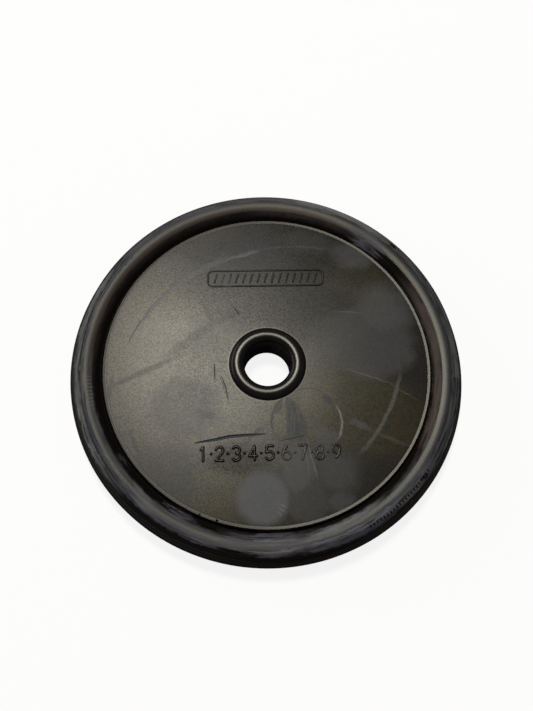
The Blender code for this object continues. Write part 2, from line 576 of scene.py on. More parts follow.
class Finish:
    """A procedural material that is written as expressions."""

    def __init__(self, name):
        self.material = bpy.data.materials.new(name)
        self.material.use_nodes = True
        self.tree = self.material.node_tree
        self.shader = self.tree.nodes["Principled BSDF"]

    def node(self, kind, settings=None, sockets=None, output=0):
        """Adds a node, sets it up, fills or links its sockets, and gives one of its outputs."""
        made = self.tree.nodes.new(kind)
        for name, value in (settings or {}).items():
            setattr(made, name, value)
        for name, value in (sockets or {}).items():
            if isinstance(value, Value):
                self.tree.links.new(value.socket, made.inputs[name])
            else:
                made.inputs[name].default_value = value
        return Value(self, made.outputs[output])

    def vector(self, operation, first, second=None, output=0):
        sockets = {0: first} if second is None else {0: first, 1: second}
        return self.node("ShaderNodeVectorMath", {"operation": operation}, sockets, output)

    def mix(self, share, first, second):
        """Blends two colours, each a link or a plain red, green and blue."""
        sockets = {0: share}
        for place, colour in ((6, first), (7, second)):
            sockets[place] = colour if isinstance(colour, Value) else (*colour, 1.0)
        return self.node("ShaderNodeMix", {"data_type": "RGBA"}, sockets, 2)

    def noise(self, place, scale, detail=2.0, roughness=0.5, output=0):
        sockets = {"Vector": place, "Scale": scale, "Detail": detail, "Roughness": roughness}
        return self.node("ShaderNodeTexNoise", None, sockets, output)

    def film(self, share, colour):
        """Lays a matt film of one colour over this share of what is there so far."""
        output = self.tree.nodes["Material Output"].inputs["Surface"]
        below = Value(self, output.links[0].from_socket)
        matt = self.node("ShaderNodeBsdfDiffuse", None, {"Color": (*colour, 1.0)})
        mixed = self.node("ShaderNodeMixShader", None, {0: share, 1: below, 2: matt})
        self.tree.links.new(mixed.socket, output)

    def feed(self, name, value):
        """Gives one of the shader's own inputs a link or a constant."""
        if isinstance(value, Value):
            self.tree.links.new(value.socket, self.shader.inputs[name])
        else:
            self.shader.inputs[name].default_value = value


# Colours of the rubber and of the films that lie on it
RUBBER_BLACK = (0.0042, 0.0034, 0.0028)
RUBBER_OLIVE = (0.0240, 0.0205, 0.0040)
RUBBER_RED = (0.0150, 0.0070, 0.0045)
# Matt black for rubber that has lost its shine, and for painted shade
DULL_BLACK_AND_SHADE = (0.0060, 0.0052, 0.0050)
# Painted tint of the lamp's highlight: a pale pinkish film, mottled, laid on the west of the face
# where the reflection lies
RED_HIGHLIGHT_TINT = (0.300, 0.205, 0.165)
BLOOM_GREY = (0.100, 0.104, 0.117)
RIM_VIOLET = (0.072, 0.072, 0.088)
# Brown for painted light on the groove's outer flank and a painted glow on the bore wall
BROWN_PAINTED_LIGHT = (0.085, 0.068, 0.062)
# Dark blue for belts beside the crest and a line on the side wall, for painted shade in the cuts
# and for a painted reflection on the lip
BLUE_FILM_SHADE_AND_SHEEN = (0.034, 0.040, 0.060)
INK_GREY = (0.056, 0.060, 0.072)
PALE_SMEAR = (0.150, 0.155, 0.172)

# Marks on the face, in millimetres and degrees. An arc is its centre, radius, half width,
# middle and reach in angle, and strength.
PALE_ARCS = [
    ((11.4, -16.0), 59.9, 0.60, 145.5, 7.5, 0.80),
    ((11.4, -16.0), 59.8, 0.95, 130.0, 13.0, 0.38),
    ((11.4, -16.0), 59.2, 0.50, 113.5, 6.5, 0.50),
    ((11.4, -16.0), 59.6, 0.40, 96.0, 12.0, 0.16),
    ((-11.8, 8.0), 55.2, 0.55, -23.5, 16.0, 0.36),
    ((13.8, -18.5), 11.0, 0.32, 6.0, 31.0, 0.90),
]
INK_ARCS = [
    ((13.8, -18.5), 11.2, 0.16, 80.0, 38.0, 0.60),
    ((11.4, -16.0), 60.1, 0.32, 155.0, 7.0, 0.50),
    ((11.4, -16.0), 60.6, 0.22, 143.0, 9.0, 0.40),
    ((13.8, -18.5), 11.0, 0.30, 168.0, 36.0, 0.75),
]
# A streak is its two ends, half width, softness and strength
PALE_STREAKS = [
    ((-14.7, 36.9), (-6.8, 39.8), 0.35, 0.6, 0.60),
    ((33.0, -19.2), (45.2, -23.2), 0.62, 0.9, 0.13),
    ((26.0, 0.4), (41.5, -3.7), 0.20, 0.8, 0.36),
    ((39.0, -3.2), (48.6, -8.2), 0.17, 0.8, 0.28),
    ((19.0, 20.3), (30.2, 20.6), 0.30, 0.9, 0.22),
    ((13.9, -23.8), (18.2, -36.0), 0.24, 0.7, 0.45),
    ((13.0, -24.5), (15.4, -34.0), 0.20, 0.7, 0.35),
    ((6.9, -44.4), (9.2, -45.6), 0.24, 0.5, 0.55),
    ((6.7, -45.7), (8.9, -46.9), 0.24, 0.5, 0.55),
    ((6.2, -46.9), (8.2, -48.1), 0.24, 0.5, 0.50),
    ((-19.0, 24.4), (-14.9, 20.6), 0.22, 0.6, 0.40),
]
INK_STREAKS = [
    ((-49.3, -12.3), (-28.5, 0.2), 0.95, 0.9, 0.42),
    ((-34.0, -1.6), (-16.8, 14.0), 1.70, 1.0, 0.27),
    ((-20.0, 12.0), (-10.6, 16.6), 1.20, 1.0, 0.25),
    ((-18.8, 12.6), (-22.9, 19.4), 0.80, 1.2, 0.26),
    ((-48.8, -9.5), (-49.2, -16.5), 0.90, 0.9, 0.35),
    ((-40.6, -26.6), (-37.4, -32.4), 0.70, 0.9, 0.40),
    ((-14.9, 21.4), (-10.0, 15.9), 0.24, 0.7, 0.45),
    ((-17.2, -1.2), (-16.3, -7.0), 0.22, 0.7, 0.45),
    ((-14.8, -5.3), (-11.2, -14.0), 0.28, 0.8, 0.42),
    ((0.2, -21.0), (-5.7, -27.6), 0.60, 0.9, 0.45),
    ((2.0, -24.9), (12.4, -23.0), 0.22, 0.6, 0.55),
    ((14.1, -24.0), (11.5, -14.6), 0.30, 0.8, 0.55),
    ((26.6, 1.0), (36.0, -1.2), 0.30, 0.8, 0.30),
]
# A patch is its centre, half sizes, turn, softness and strength
BLOOM_PATCHES = [
    ((31.5, 10.5), (15.6, 12.6), -5.0, 0.42, 0.34),
    ((36.5, 20.5), (8.5, 9.5), -10.0, 1.20, 0.44),
    ((25.4, 41.6), (6.2, 4.8), -15.0, 1.10, 0.38),
    ((-2.0, 25.0), (25.0, 13.0), 0.0, 1.20, 0.16),
    ((10.0, 45.5), (9.0, 4.0), -5.0, 1.00, 0.20),
    ((-24.4, -16.8), (11.4, 9.6), -12.0, 0.55, 0.42),
    ((-14.5, 11.5), (13.5, 7.5), 32.0, 0.90, 0.26),
    ((11.6, -32.6), (5.6, 7.2), 0.0, 0.50, 0.46),
    ((24.2, -33.4), (6.4, 6.0), 0.0, 1.30, 0.30),
    ((15.4, -42.5), (6.6, 7.4), 0.0, 0.50, 0.22),
    ((24.8, -42.4), (4.2, 3.4), 25.0, 1.30, 0.32),
    ((19.6, -22.0), (3.9, 2.7), 0.0, 0.40, 0.34),
    ((19.0, -26.0), (3.2, 3.0), 0.0, 1.00, 0.34),
    ((30.0, -18.2), (3.2, 1.4), -10.0, 0.80, 0.34),
    ((-17.2, 28.9), (2.7, 2.6), 0.0, 0.50, 0.60),
    ((-40.8, -26.0), (0.9, 0.9), 0.0, 0.90, 0.80),
]
VIOLET_PATCHES = [
    ((-17.0, 39.0), (18.0, 11.0), 12.0, 1.10, 0.40),
    ((-27.0, -38.0), (10.0, 9.5), -20.0, 0.90, 0.34),
    ((-17.2, -18.6), (3.0, 2.0), 0.0, 0.90, 0.35),
]
INK_PATCHES = [
    ((19.8, -10.4), (2.1, 1.1), -40.0, 0.45, 0.85),
    ((4.5, -14.4), (1.3, 2.2), -25.0, 0.55, 0.60),
]
OLIVE_PATCHES = [
    ((32.0, -14.0), (21.0, 13.0), -12.0, 0.70, 1.00),
    ((29.0, 32.0), (11.0, 8.0), -30.0, 0.80, 0.85),
    ((-11.0, -42.0), (9.0, 9.0), 0.0, 0.60, 0.90),
    ((14.0, -17.0), (11.0, 8.0), 0.0, 0.60, 1.00),
]
ROUND_STAIN = ((2.0, -43.2), (8.0, 8.0), 0.0, 0.42, 0.78)
# Painted shade: places on the face where a matt film dims the lamp's reflection, and one where less
# of the film lets more of it show
REFLECTION_SHADE_PATCHES = [
    ((2.0, 42.0), (34.0, 15.0), 0.0, 1.20, 0.29),
    ((-4.0, 24.0), (29.0, 14.0), 0.0, 1.20, 0.26),
    ((-19.0, -2.0), (13.0, 13.0), 0.0, 1.50, 0.17),
    ((40.0, 9.0), (10.0, 9.0), 0.0, 1.20, 0.17),
    ((-8.0, -32.0), (8.0, 5.0), 0.0, 1.20, 0.28),
]
LESS_SHADE_PATCH = ((16.5, -2.0), (6.0, 15.0), 0.0, 1.00, 0.15)
MOON_CENTRE = (5.5, -25.0)
MOON_HALF_SIZES = (8.8, 14.6)
MOON_SOFTNESS = 0.12
MOON_LEFT_LEAN = 0.108
MOON_LEFT_FADE = (4.9, 5.7)
MOON_LOW_FADE = (-25.5, -23.0)
MOON_HATCH_LEAN = math.radians(8.0)
MOON_HATCH_SCALE = (1.9, 0.16, 1.0)
MOON_HATCH_NOISE = (1.0, 3.0, 0.6)
MOON_HATCH_FADE = (0.30, 0.70)

# Marks on the rim: the same, with the angle round the rim in degrees in place of x and the
# radius in place of y
RIM_VIOLET_PATCHES = [
    ((276.5, 56.9), (8.6, 3.9), 0.0, 0.40, 0.90),
    ((246.3, 55.1), (4.1, 1.7), 0.0, 0.50, 0.85),
    ((266.0, 57.6), (6.5, 2.4), 0.0, 0.70, 0.75),
    ((220.5, 54.4), (1.6, 0.8), 0.0, 0.80, 0.45),
    ((57.0, 56.4), (7.6, 2.6), 4.0, 0.60, 0.95),
]
RIM_BLOOM_PATCHES = [
    ((60.0, 54.8), (2.4, 1.5), 0.0, 0.80, 0.60),
    ((255.0, 60.0), (3.4, 0.5), 0.0, 0.60, 0.50),
    ((234.5, 57.9), (4.4, 1.9), 10.0, 0.60, 0.75),
]
RIM_PALE_PATCHES = [
    ((276.0, 56.1), (7.6, 0.40), 1.5, 0.80, 0.50),
    ((276.5, 59.3), (7.4, 0.50), -4.0, 0.80, 0.50),
    ((300.0, 55.7), (10.0, 0.70), -3.0, 0.80, 0.55),
    ((298.0, 58.5), (12.0, 0.22), -0.6, 0.80, 0.50),
    ((308.0, 59.2), (5.5, 0.20), -5.0, 0.80, 0.60),
    ((77.0, 61.2), (9.0, 0.60), 0.0, 0.80, 0.60),
    ((210.0, 60.9), (5.0, 0.25), 6.0, 0.60, 0.60),
    ((204.0, 61.3), (3.0, 0.22), 3.0, 0.60, 0.50),
]
COMB_PATCH = ((195.0, 56.7), (6.0, 1.0), 0.0, 0.50, 0.30)
COMB_PITCH = 5.2
RIM_BLACK_PATCHES = [
    ((49.0, 60.5), (1.3, 0.6), 0.0, 0.40, 1.00),
    ((264.0, 60.0), (4.0, 0.45), 0.0, 0.50, 1.00),
    ((34.5, 61.0), (1.4, 0.4), 0.0, 0.60, 0.60),
    ((327.0, 60.3), (1.6, 0.6), 20.0, 0.50, 0.80),
    ((284.0, 61.6), (19.0, 0.75), 0.0, 0.40, 0.90),
]
# A belt is its two angles, two radii, the softness of both, and strength. One that runs on
# past 0 or 360 degrees has an angle well beyond it, so that no seam shows there.
# Painted light on the groove's outer flank: on the east side, which faces the light from the west,
# and in a band below the crest on the far side and the west
RIM_FLANK_LIGHT_BELTS = [
    ((-99.0, 34.0), (53.8, 56.0), 9.0, 0.5, 0.80),
    ((338.0, 459.0), (53.8, 56.0), 8.0, 0.5, 0.80),
    ((66.0, 100.0), (55.0, 57.0), 8.0, 0.8, 0.60),
    ((100.0, 186.0), (55.3, 57.0), 12.0, 0.8, 0.32),
]
RIM_VIOLET_BELTS = [
    ((64.0, 150.0), (58.7, 61.6), 10.0, 0.5, 0.80),
    ((224.0, 262.0), (58.0, 60.2), 6.0, 0.4, 0.90),
    ((284.0, 332.0), (57.4, 61.0), 5.0, 0.5, 0.85),
    ((-99.0, 52.0), (59.2, 61.8), 6.0, 0.3, 0.62),
    ((328.0, 459.0), (58.9, 61.8), 6.0, 0.3, 0.62),
    ((262.0, 290.0), (54.0, 56.0), 5.0, 0.6, 0.45),
    # This belt is painted light on the upper flank below the crest.
    ((186.0, 262.0), (55.7, 56.9), 10.0, 0.5, 0.62),
]
RIM_BLOOM_BELTS = [
    ((152.0, 224.0), (59.7, 61.5), 8.0, 0.4, 0.90),
    ((288.0, 312.0), (54.7, 56.6), 5.0, 0.6, 0.85),
    ((51.0, 85.0), (59.2, 61.9), 3.0, 0.4, 1.00),
    ((-99.0, 15.0), (59.6, 61.4), 4.0, 0.4, 0.55),
    ((316.0, 342.0), (55.2, 57.0), 6.0, 0.7, 0.35),
]
# Dark blue belts beside the crest, which narrow its highlight, and dark lines on the land
RIM_DARK_BELTS = [
    ((196.0, 234.0), (58.1, 59.3), 6.0, 0.35, 0.95),
    ((138.0, 196.0), (58.3, 59.2), 9.0, 0.35, 0.75),
    ((-99.0, 50.0), (58.4, 58.9), 8.0, 0.30, 0.75),
    ((288.0, 459.0), (57.8, 58.4), 8.0, 0.30, 0.80),
    ((226.0, 262.0), (59.9, 60.3), 6.0, 0.25, 0.80),
    ((290.0, 312.0), (60.3, 61.4), 6.0, 0.40, 0.80),
]
WALL_LINE_BELT = ((206.0, 262.0), (62.65, 62.8), 10.0, 0.12, 0.55)
BORE_GLOW = ((52.0, 7.4), (26.0, 1.2), 0.0, 1.00, 0.25)

# Noises of the rubber: scale per millimetre, detail and roughness. Swept and torn run long
# round the rim and short across it.
DRIFT_NOISE = (0.45, 3.0, 0.5)
SWAY_NOISE = (0.13, 4.0, 0.65)
CLOUD_NOISE = (0.055, 4.0, 0.6)
MOTTLE_NOISE = (0.45, 4.0, 0.65)
FINE_NOISE = (2.2, 2.0, 0.6)
SPECKLE_NOISE = (1.9, 2.0, 0.6)
GRAIN_NOISE = (7.0, 2.0, 0.6)
SWEPT_NOISE = (0.8, 4.0, 0.65)
TORN_NOISE = (0.8, 4.0, 0.7)
SWEEP_ROUND = 9.0
SWEEP_ACROSS = 2.3

# How far marks stray: in millimetres on the face, in degrees and millimetres on the rim
MARK_STRAY = (1.1, 1.1, 0.0)
CLOUD_STRAY = (9.0, 9.0, 0.0)
RIM_STRAY = (2.4, 1.0, 0.0)
SMEAR_STRAY = (22.0, 1.3, 0.0)

# Zones fade in from the first of two radii, or two heights over the face, to the second
FACE_FADE = (52.6, 51.6)
FACE_DEPTH_FADE = (-0.30, -0.02)
WEB_FADE = (12.3, 13.0)
WALL_FADE = (61.9, 62.1)
WALL_TOP_FADE = (0.42, 0.24)
CUT_FADES = ((51.0, 50.5), (13.2, 13.8))
CUT_DEPTH_FADE = (-0.02, -0.06)
TOPSIDE_FADE = (-2.4, -1.8)
RIM_FADE = (52.9, 53.3)
GROOVE_FADES = ((52.95, 53.2), (54.6, 54.0))
EDGE_FADES = ((51.4, 51.9), (53.4, 52.9))
BORE_FADE = (8.3, 7.7)
BORE_WALL_FADE = (7.7, 7.55)
LIP_OUTER_FADES = ((12.5, 12.2), (10.6, 11.2))
LIP_INNER_FADES = ((8.7, 8.2), (7.45, 7.7))
TOOTH_FADES = ((59.8, 60.0), (61.8, 61.6))
TOOTH_DEPTH_FADE = (0.02, 0.09)
# These fade in along the x axis
EAST_EDGE_FADE = (30.0, -10.0)
WEST_RIM_FADE = (5.0, -35.0)
WEST_FACE_FADE = (-8.0, -40.0)

# Noise from the first value to the second becomes a mask from 0 to 1
OLIVE_FADE = (0.25, 0.55)
RED_CLOUD_FADE = (0.50, 0.62)
RED_MOTTLE_FADE = (0.45, 0.65)
HIGHLIGHT_TINT_FADE = (0.35, 0.70)
STREAK_FADE = (0.34, 0.60)
WORN_FADE = (0.28, 0.55)
COMB_FADE = (0.0, 0.8)

# Least and most that a mask leaves of a film
STREAKY_SHARES = (0.22, 1.15)
FLANK_LIGHT_SHARES = (0.5, 1.0)
INK_SHARES = (0.6, 1.0)
PALE_SHARES = (0.35, 1.0)
HATCH_SHARES = (0.35, 1.0)
MOON_SHARES = (0.8, 1.2)
PATCHY_LEAST = 0.35
PATCHY_SWING = 0.65

# Shine and relief of the bare rubber
RUBBER_IOR = 1.30
RUBBER_ROUGHNESS = 0.29
FACE_SMOOTHER = 0.02
RIM_SMOOTHER = 0.02
EDGE_ROUGHER = 0.04
SMOOTHER_FACE_FADE = (51.95, 51.7)
SMOOTHER_RIM_FADE = (53.0, 56.0)
ROUGHER_EDGE_FADES = ((51.7, 52.1), (53.4, 53.0))
RELIEF_FACE_FADES = ((12.2, 12.8), (51.7, 51.2))
RELIEF_RIM_FADE = (53.4, 54.4)
RELIEF_LAND_FADE = (58.6, 59.6)
GRAIN_RELIEF = 0.10
FINE_RELIEF = 0.22
MOTTLE_RELIEF = 0.16
LAND_RELIEF = 0.60
RELIEF_STRENGTH = 0.5
RELIEF_DISTANCE = 0.00003

# Share that each film covers
RIM_DULL = (0.58, 0.72)
RIM_DULL_FADE = (53.5, 56.0)
# Painted shade: share of matt black on the side wall, on the face's edge towards the west, in the
# bore and in the groove
WALL_SHADE = 0.95
WEST_EDGE_SHADE = 0.50
BORE_SHADE = 0.90
GROOVE_SHADE = 0.92
FACE_DULL = 0.33
FACE_DULL_MOTTLE = 0.15
HIGHLIGHT_TINT_SHARE = 0.12
LIP_SHEEN_SHARE = 0.06
# Painted shade inside the gouge and the scratches
CUT_SHADE_SHARE = 0.80
RED_SHARE = 0.70

# An arc's edges and ends fade between these shares of its half width and of its reach
ARC_EDGE_FADE = (1.5, 0.6)
ARC_END_FADE = (1.15, 0.55)
SMALLEST_CORE = 0.05


def smear_arc(finish, place, centre, radius, half_width, middle, reach, strength):
    """A streak along part of a circle."""
    offset = finish.vector("SUBTRACT", place, (*centre, 0.0))
    from_line = abs(finish.vector("LENGTH", offset, output=1) - radius)
    across = from_line.rise(half_width * ARC_EDGE_FADE[0], half_width * ARC_EDGE_FADE[1])
    angle = math.radians(middle)
    ahead = (math.cos(angle), math.sin(angle), 0.0)
    facing = finish.vector("DOT_PRODUCT", finish.vector("NORMALIZE", offset), ahead, output=1)
    outer = math.cos(math.radians(reach * ARC_END_FADE[0]))
    inner = math.cos(math.radians(reach * ARC_END_FADE[1]))
    return across * facing.rise(outer, inner) * strength


def patch(finish, place, centre, half_sizes, turn, softness, strength):
    """A soft-edged oval."""
    local = finish.node(
        "ShaderNodeMapping",
        {"vector_type": "TEXTURE"},
        {
            "Vector": place,
            "Location": (*centre, 0.0),
            "Rotation": (0.0, 0.0, math.radians(turn)),
            "Scale": (*half_sizes, 1.0),
        },
    )
    inside = finish.vector("LENGTH", local, output=1)
    full = max(1.0 - softness / 2.0, SMALLEST_CORE)
    return inside.rise(1.0 + softness / 2.0, full) * strength


def belt(finish, place, angles, radii, fade, blur, strength):
    """A soft-edged band round the rim, from one angle to another and between two radii."""
    along, radius = part_of(finish, place, 0), part_of(finish, place, 1)
    reach = along.rise(angles[0] - fade, angles[0] + fade)
    reach = reach * along.rise(angles[1] + fade, angles[1] - fade)
    width = radius.rise(radii[0] - blur, radii[0] + blur)
    width = width * radius.rise(radii[1] + blur, radii[1] - blur)
    return reach * width * strength


def streak(finish, place, start, end, half_width, softness, strength):
    """A straight streak that tapers to both ends."""
    along = Vector(end) - Vector(start)
    centre = tuple((Vector(start) + Vector(end)) / 2.0)
    turn = math.degrees(math.atan2(along.y, along.x))
    half_sizes = (along.length / 2.0, half_width)
    return patch(finish, place, centre, half_sizes, turn, softness, strength)


def union(values):
    """The strongest of several masks at each point."""
    strongest = values[0]
    for value in values[1:]:
        strongest = strongest.larger(value)
    return strongest


def part_of(finish, vector, axis):
    """One of a vector's three numbers."""
    return finish.node("ShaderNodeSeparateXYZ", None, {0: vector}, axis)


def between(share, low, high):
    """A share from 0 to 1, stretched to run from low to high."""
    return low + (high - low) * share


def half_moon(finish, place, fine):
    """A smudge with a straight left side and a bowed right one, hatched from top to bottom."""
    oval = patch(finish, place, MOON_CENTRE, MOON_HALF_SIZES, 0.0, MOON_SOFTNESS, 1.0)
    across, up = part_of(finish, place, 0), part_of(finish, place, 1)
    left = (across + MOON_LEFT_LEAN * up).rise(*MOON_LEFT_FADE)
    turned = finish.node(
        "ShaderNodeMapping",
        None,
        {
            "Vector": place,
            "Rotation": (0.0, 0.0, MOON_HATCH_LEAN),
            "Scale": MOON_HATCH_SCALE,
        },
    )
    hatch = finish.noise(turned, *MOON_HATCH_NOISE).rise(*MOON_HATCH_FADE)
    smudge = oval * left * up.rise(*MOON_LOW_FADE)
    return smudge * between(hatch, *HATCH_SHARES) * between(fine, *MOON_SHARES)


class RubberMap:
    """Places, noises and zones that the layers of the rubber share, in millimetres."""

    def __init__(self, finish):
        self.finish = finish
        body = finish.node(
            "ShaderNodeMapping",
            None,
            {
                "Vector": finish.node("ShaderNodeTexCoord", output=3),
                "Rotation": (0.0, 0.0, WEAR_TURN),
                "Scale": (1.0 / MM, 1.0 / MM, 1.0 / MM),
            },
        )
        flat = finish.vector("MULTIPLY", body, (1.0, 1.0, 0.0))
        self.across = part_of(finish, flat, 0)
        self.height = part_of(finish, body, 2) - HUB_DEPTH / MM
        self.radius = finish.vector("LENGTH", flat, output=1)
        self.clouds = finish.noise(body, *CLOUD_NOISE)
        self.mottle = finish.noise(body, *MOTTLE_NOISE)
        self.fine = finish.noise(body, *FINE_NOISE)
        self.speckle = finish.noise(body, *SPECKLE_NOISE)
        self.grain = finish.noise(body, *GRAIN_NOISE)

        drift = finish.noise(body, *DRIFT_NOISE, output=1)
        sway = finish.noise(body, *SWAY_NOISE, output=1)
        self.place = self.strayed(flat, drift, MARK_STRAY)
        self.loose = self.strayed(flat, sway, CLOUD_STRAY)

        behind = finish.vector("MULTIPLY", flat, (-1.0, -1.0, 0.0))
        angle = part_of(finish, behind, 1).maths("ARCTAN2", part_of(finish, behind, 0))
        self.round_rim = angle * (180.0 / math.pi) + 180.0
        sockets = {0: self.round_rim, 1: self.radius}
        self.unrolled = finish.node("ShaderNodeCombineXYZ", None, sockets)
        outwards = finish.vector("NORMALIZE", flat)
        winding = finish.vector("MULTIPLY", outwards, (SWEEP_ROUND, SWEEP_ROUND, 0.0))
        ringed = finish.node("ShaderNodeCombineXYZ", None, {2: self.radius * SWEEP_ACROSS})
        swirl = finish.vector("ADD", winding, ringed)
        self.swept = finish.noise(swirl, *SWEPT_NOISE)
        torn = finish.noise(swirl, *TORN_NOISE, output=1)
        self.rim_place = self.strayed(self.unrolled, drift, RIM_STRAY)
        self.rim_torn = self.strayed(self.rim_place, torn, SMEAR_STRAY)

        self.face = self.radius.rise(*FACE_FADE) * self.height.rise(*FACE_DEPTH_FADE)
        self.open_face = self.face * self.radius.rise(*WEB_FADE)
        self.wall = self.radius.rise(*WALL_FADE) * self.height.rise(*WALL_TOP_FADE)
        self.topside = self.height.rise(*TOPSIDE_FADE)
        self.upper_rim = (1.0 - self.wall) * self.radius.rise(*RIM_FADE) * self.topside
        self.patchy = PATCHY_LEAST + PATCHY_SWING * self.mottle + PATCHY_SWING * self.fine
        self.streaky = between(self.swept.rise(*STREAK_FADE), *STREAKY_SHARES)
        self.worn = self.fine.rise(*WORN_FADE)

    def strayed(self, place, noise, reach):
        """A place moved about by a noise, this far each way."""
        offset = self.finish.vector("SUBTRACT", noise, (0.5, 0.5, 0.5))
        return self.finish.vector("ADD", place, self.finish.vector("MULTIPLY", offset, reach))

    def ring(self, first, second):
        """A zone between two radii, each with its own fade."""
        return self.radius.rise(*first) * self.radius.rise(*second)

    def patches(self, place, ovals):
        """The strongest of some ovals at each point."""
        return union([patch(self.finish, place, *oval) for oval in ovals])

    def rim_smears(self, ovals, belts):
        """Torn patches and belts on the upper side of the rim."""
        smears = [patch(self.finish, self.rim_torn, *oval) for oval in ovals]
        smears += [belt(self.finish, self.rim_torn, *ring) for ring in belts]
        return union(smears) * self.upper_rim


def bare_rubber(finish, rubber):
    """Colour, shine and relief of the rubber itself."""
    olive = rubber.patches(rubber.loose, OLIVE_PATCHES) * rubber.mottle.rise(*OLIVE_FADE)
    olive = olive * rubber.open_face
    red = rubber.clouds.rise(*RED_CLOUD_FADE) * rubber.mottle.rise(*RED_MOTTLE_FADE)
    red = red * rubber.face * RED_SHARE
    colour = finish.mix(olive, RUBBER_BLACK, RUBBER_OLIVE)
    finish.feed("Base Color", finish.mix(red, colour, RUBBER_RED))
    smoother_face = rubber.radius.rise(*SMOOTHER_FACE_FADE) * rubber.face
    polish = RUBBER_ROUGHNESS - FACE_SMOOTHER * smoother_face
    polish = polish - RIM_SMOOTHER * rubber.radius.rise(*SMOOTHER_RIM_FADE)
    finish.feed("Roughness", polish + EDGE_ROUGHER * rubber.ring(*ROUGHER_EDGE_FADES))
    finish.feed("Metallic", 0.0)
    finish.feed("IOR", RUBBER_IOR)
    lip_foot, face_edge = RELIEF_FACE_FADES
    grained = rubber.radius.rise(*face_edge).larger(rubber.radius.rise(*RELIEF_RIM_FADE))
    grained = grained * rubber.radius.rise(*lip_foot)
    relief = GRAIN_RELIEF * rubber.grain + FINE_RELIEF * rubber.fine + MOTTLE_RELIEF * rubber.mottle
    relief = relief + LAND_RELIEF * rubber.swept * rubber.radius.rise(*RELIEF_LAND_FADE)
    sockets = {
        "Strength": RELIEF_STRENGTH,
        "Distance": RELIEF_DISTANCE,
        "Height": relief * grained,
    }
    finish.feed("Normal", finish.node("ShaderNodeBump", None, sockets))


def dull_and_shade_share(finish, rubber):
    """A matt black film: painted shade on the side wall, in the bore, in the groove and on the
    face's edge towards the west, and lost shine on the rim, more towards the west, and on the face,
    where listed patches add painted shade that dims the lamp's reflection.
    """
    west = rubber.across.rise(*WEST_RIM_FADE)
    rim = rubber.radius.rise(*RIM_DULL_FADE) * between(west, *RIM_DULL)
    edge = rubber.ring(*EDGE_FADES) * rubber.across.rise(*EAST_EDGE_FADE)
    face = FACE_DULL + (rubber.speckle - 0.5) + FACE_DULL_MOTTLE * (rubber.mottle - 0.5)
    # Painted shade that dims the lamp's reflection in places, and less of it in one
    face = face + rubber.patches(rubber.loose, REFLECTION_SHADE_PATCHES)
    face = face - patch(finish, rubber.loose, *LESS_SHADE_PATCH)
    return union([
        rim,
        rubber.wall * WALL_SHADE,
        edge * WEST_EDGE_SHADE,
        rubber.radius.rise(*BORE_FADE) * BORE_SHADE,
        rubber.ring(*GROOVE_FADES) * GROOVE_SHADE,
        rubber.open_face * face,
    ])


def ink_marks(finish, rubber):
    """Dark smears and scratches on the face."""
    marks = [smear_arc(finish, rubber.place, *arc) for arc in INK_ARCS]
    marks += [streak(finish, rubber.place, *line) for line in INK_STREAKS]
    marks += [patch(finish, rubber.place, *oval) for oval in INK_PATCHES]
    marks.append(half_moon(finish, rubber.place, rubber.fine))
    return union(marks) * rubber.open_face * between(rubber.worn, *INK_SHARES)


def pale_marks(finish, rubber):
    """Pale smears and scratches on the face."""
    marks = [smear_arc(finish, rubber.place, *arc) for arc in PALE_ARCS]
    marks += [streak(finish, rubber.place, *line) for line in PALE_STREAKS]
    return union(marks) * rubber.open_face * between(rubber.worn, *PALE_SHARES)


def tooth_cut_shade(rubber):
    """Painted shade inside the tooth marks, which lie below the land."""
    land_start = face_corners(HUB_DEPTH)[LAND_CORNER][0] / MM
    land_height = CREST_HEIGHT / MM - math.tan(LAND_SLOPE) * (rubber.radius - land_start)
    below = (land_height - rubber.height).rise(*TOOTH_DEPTH_FADE)
    return below * rubber.ring(*TOOTH_FADES) * rubber.topside


def comb_marks(finish, rubber):
    """A short row of pale lines across the shoulder of the rim."""
    lines = (rubber.round_rim * COMB_PITCH).maths("SINE").rise(*COMB_FADE)
    return lines * rubber.upper_rim * patch(finish, rubber.rim_place, *COMB_PATCH)


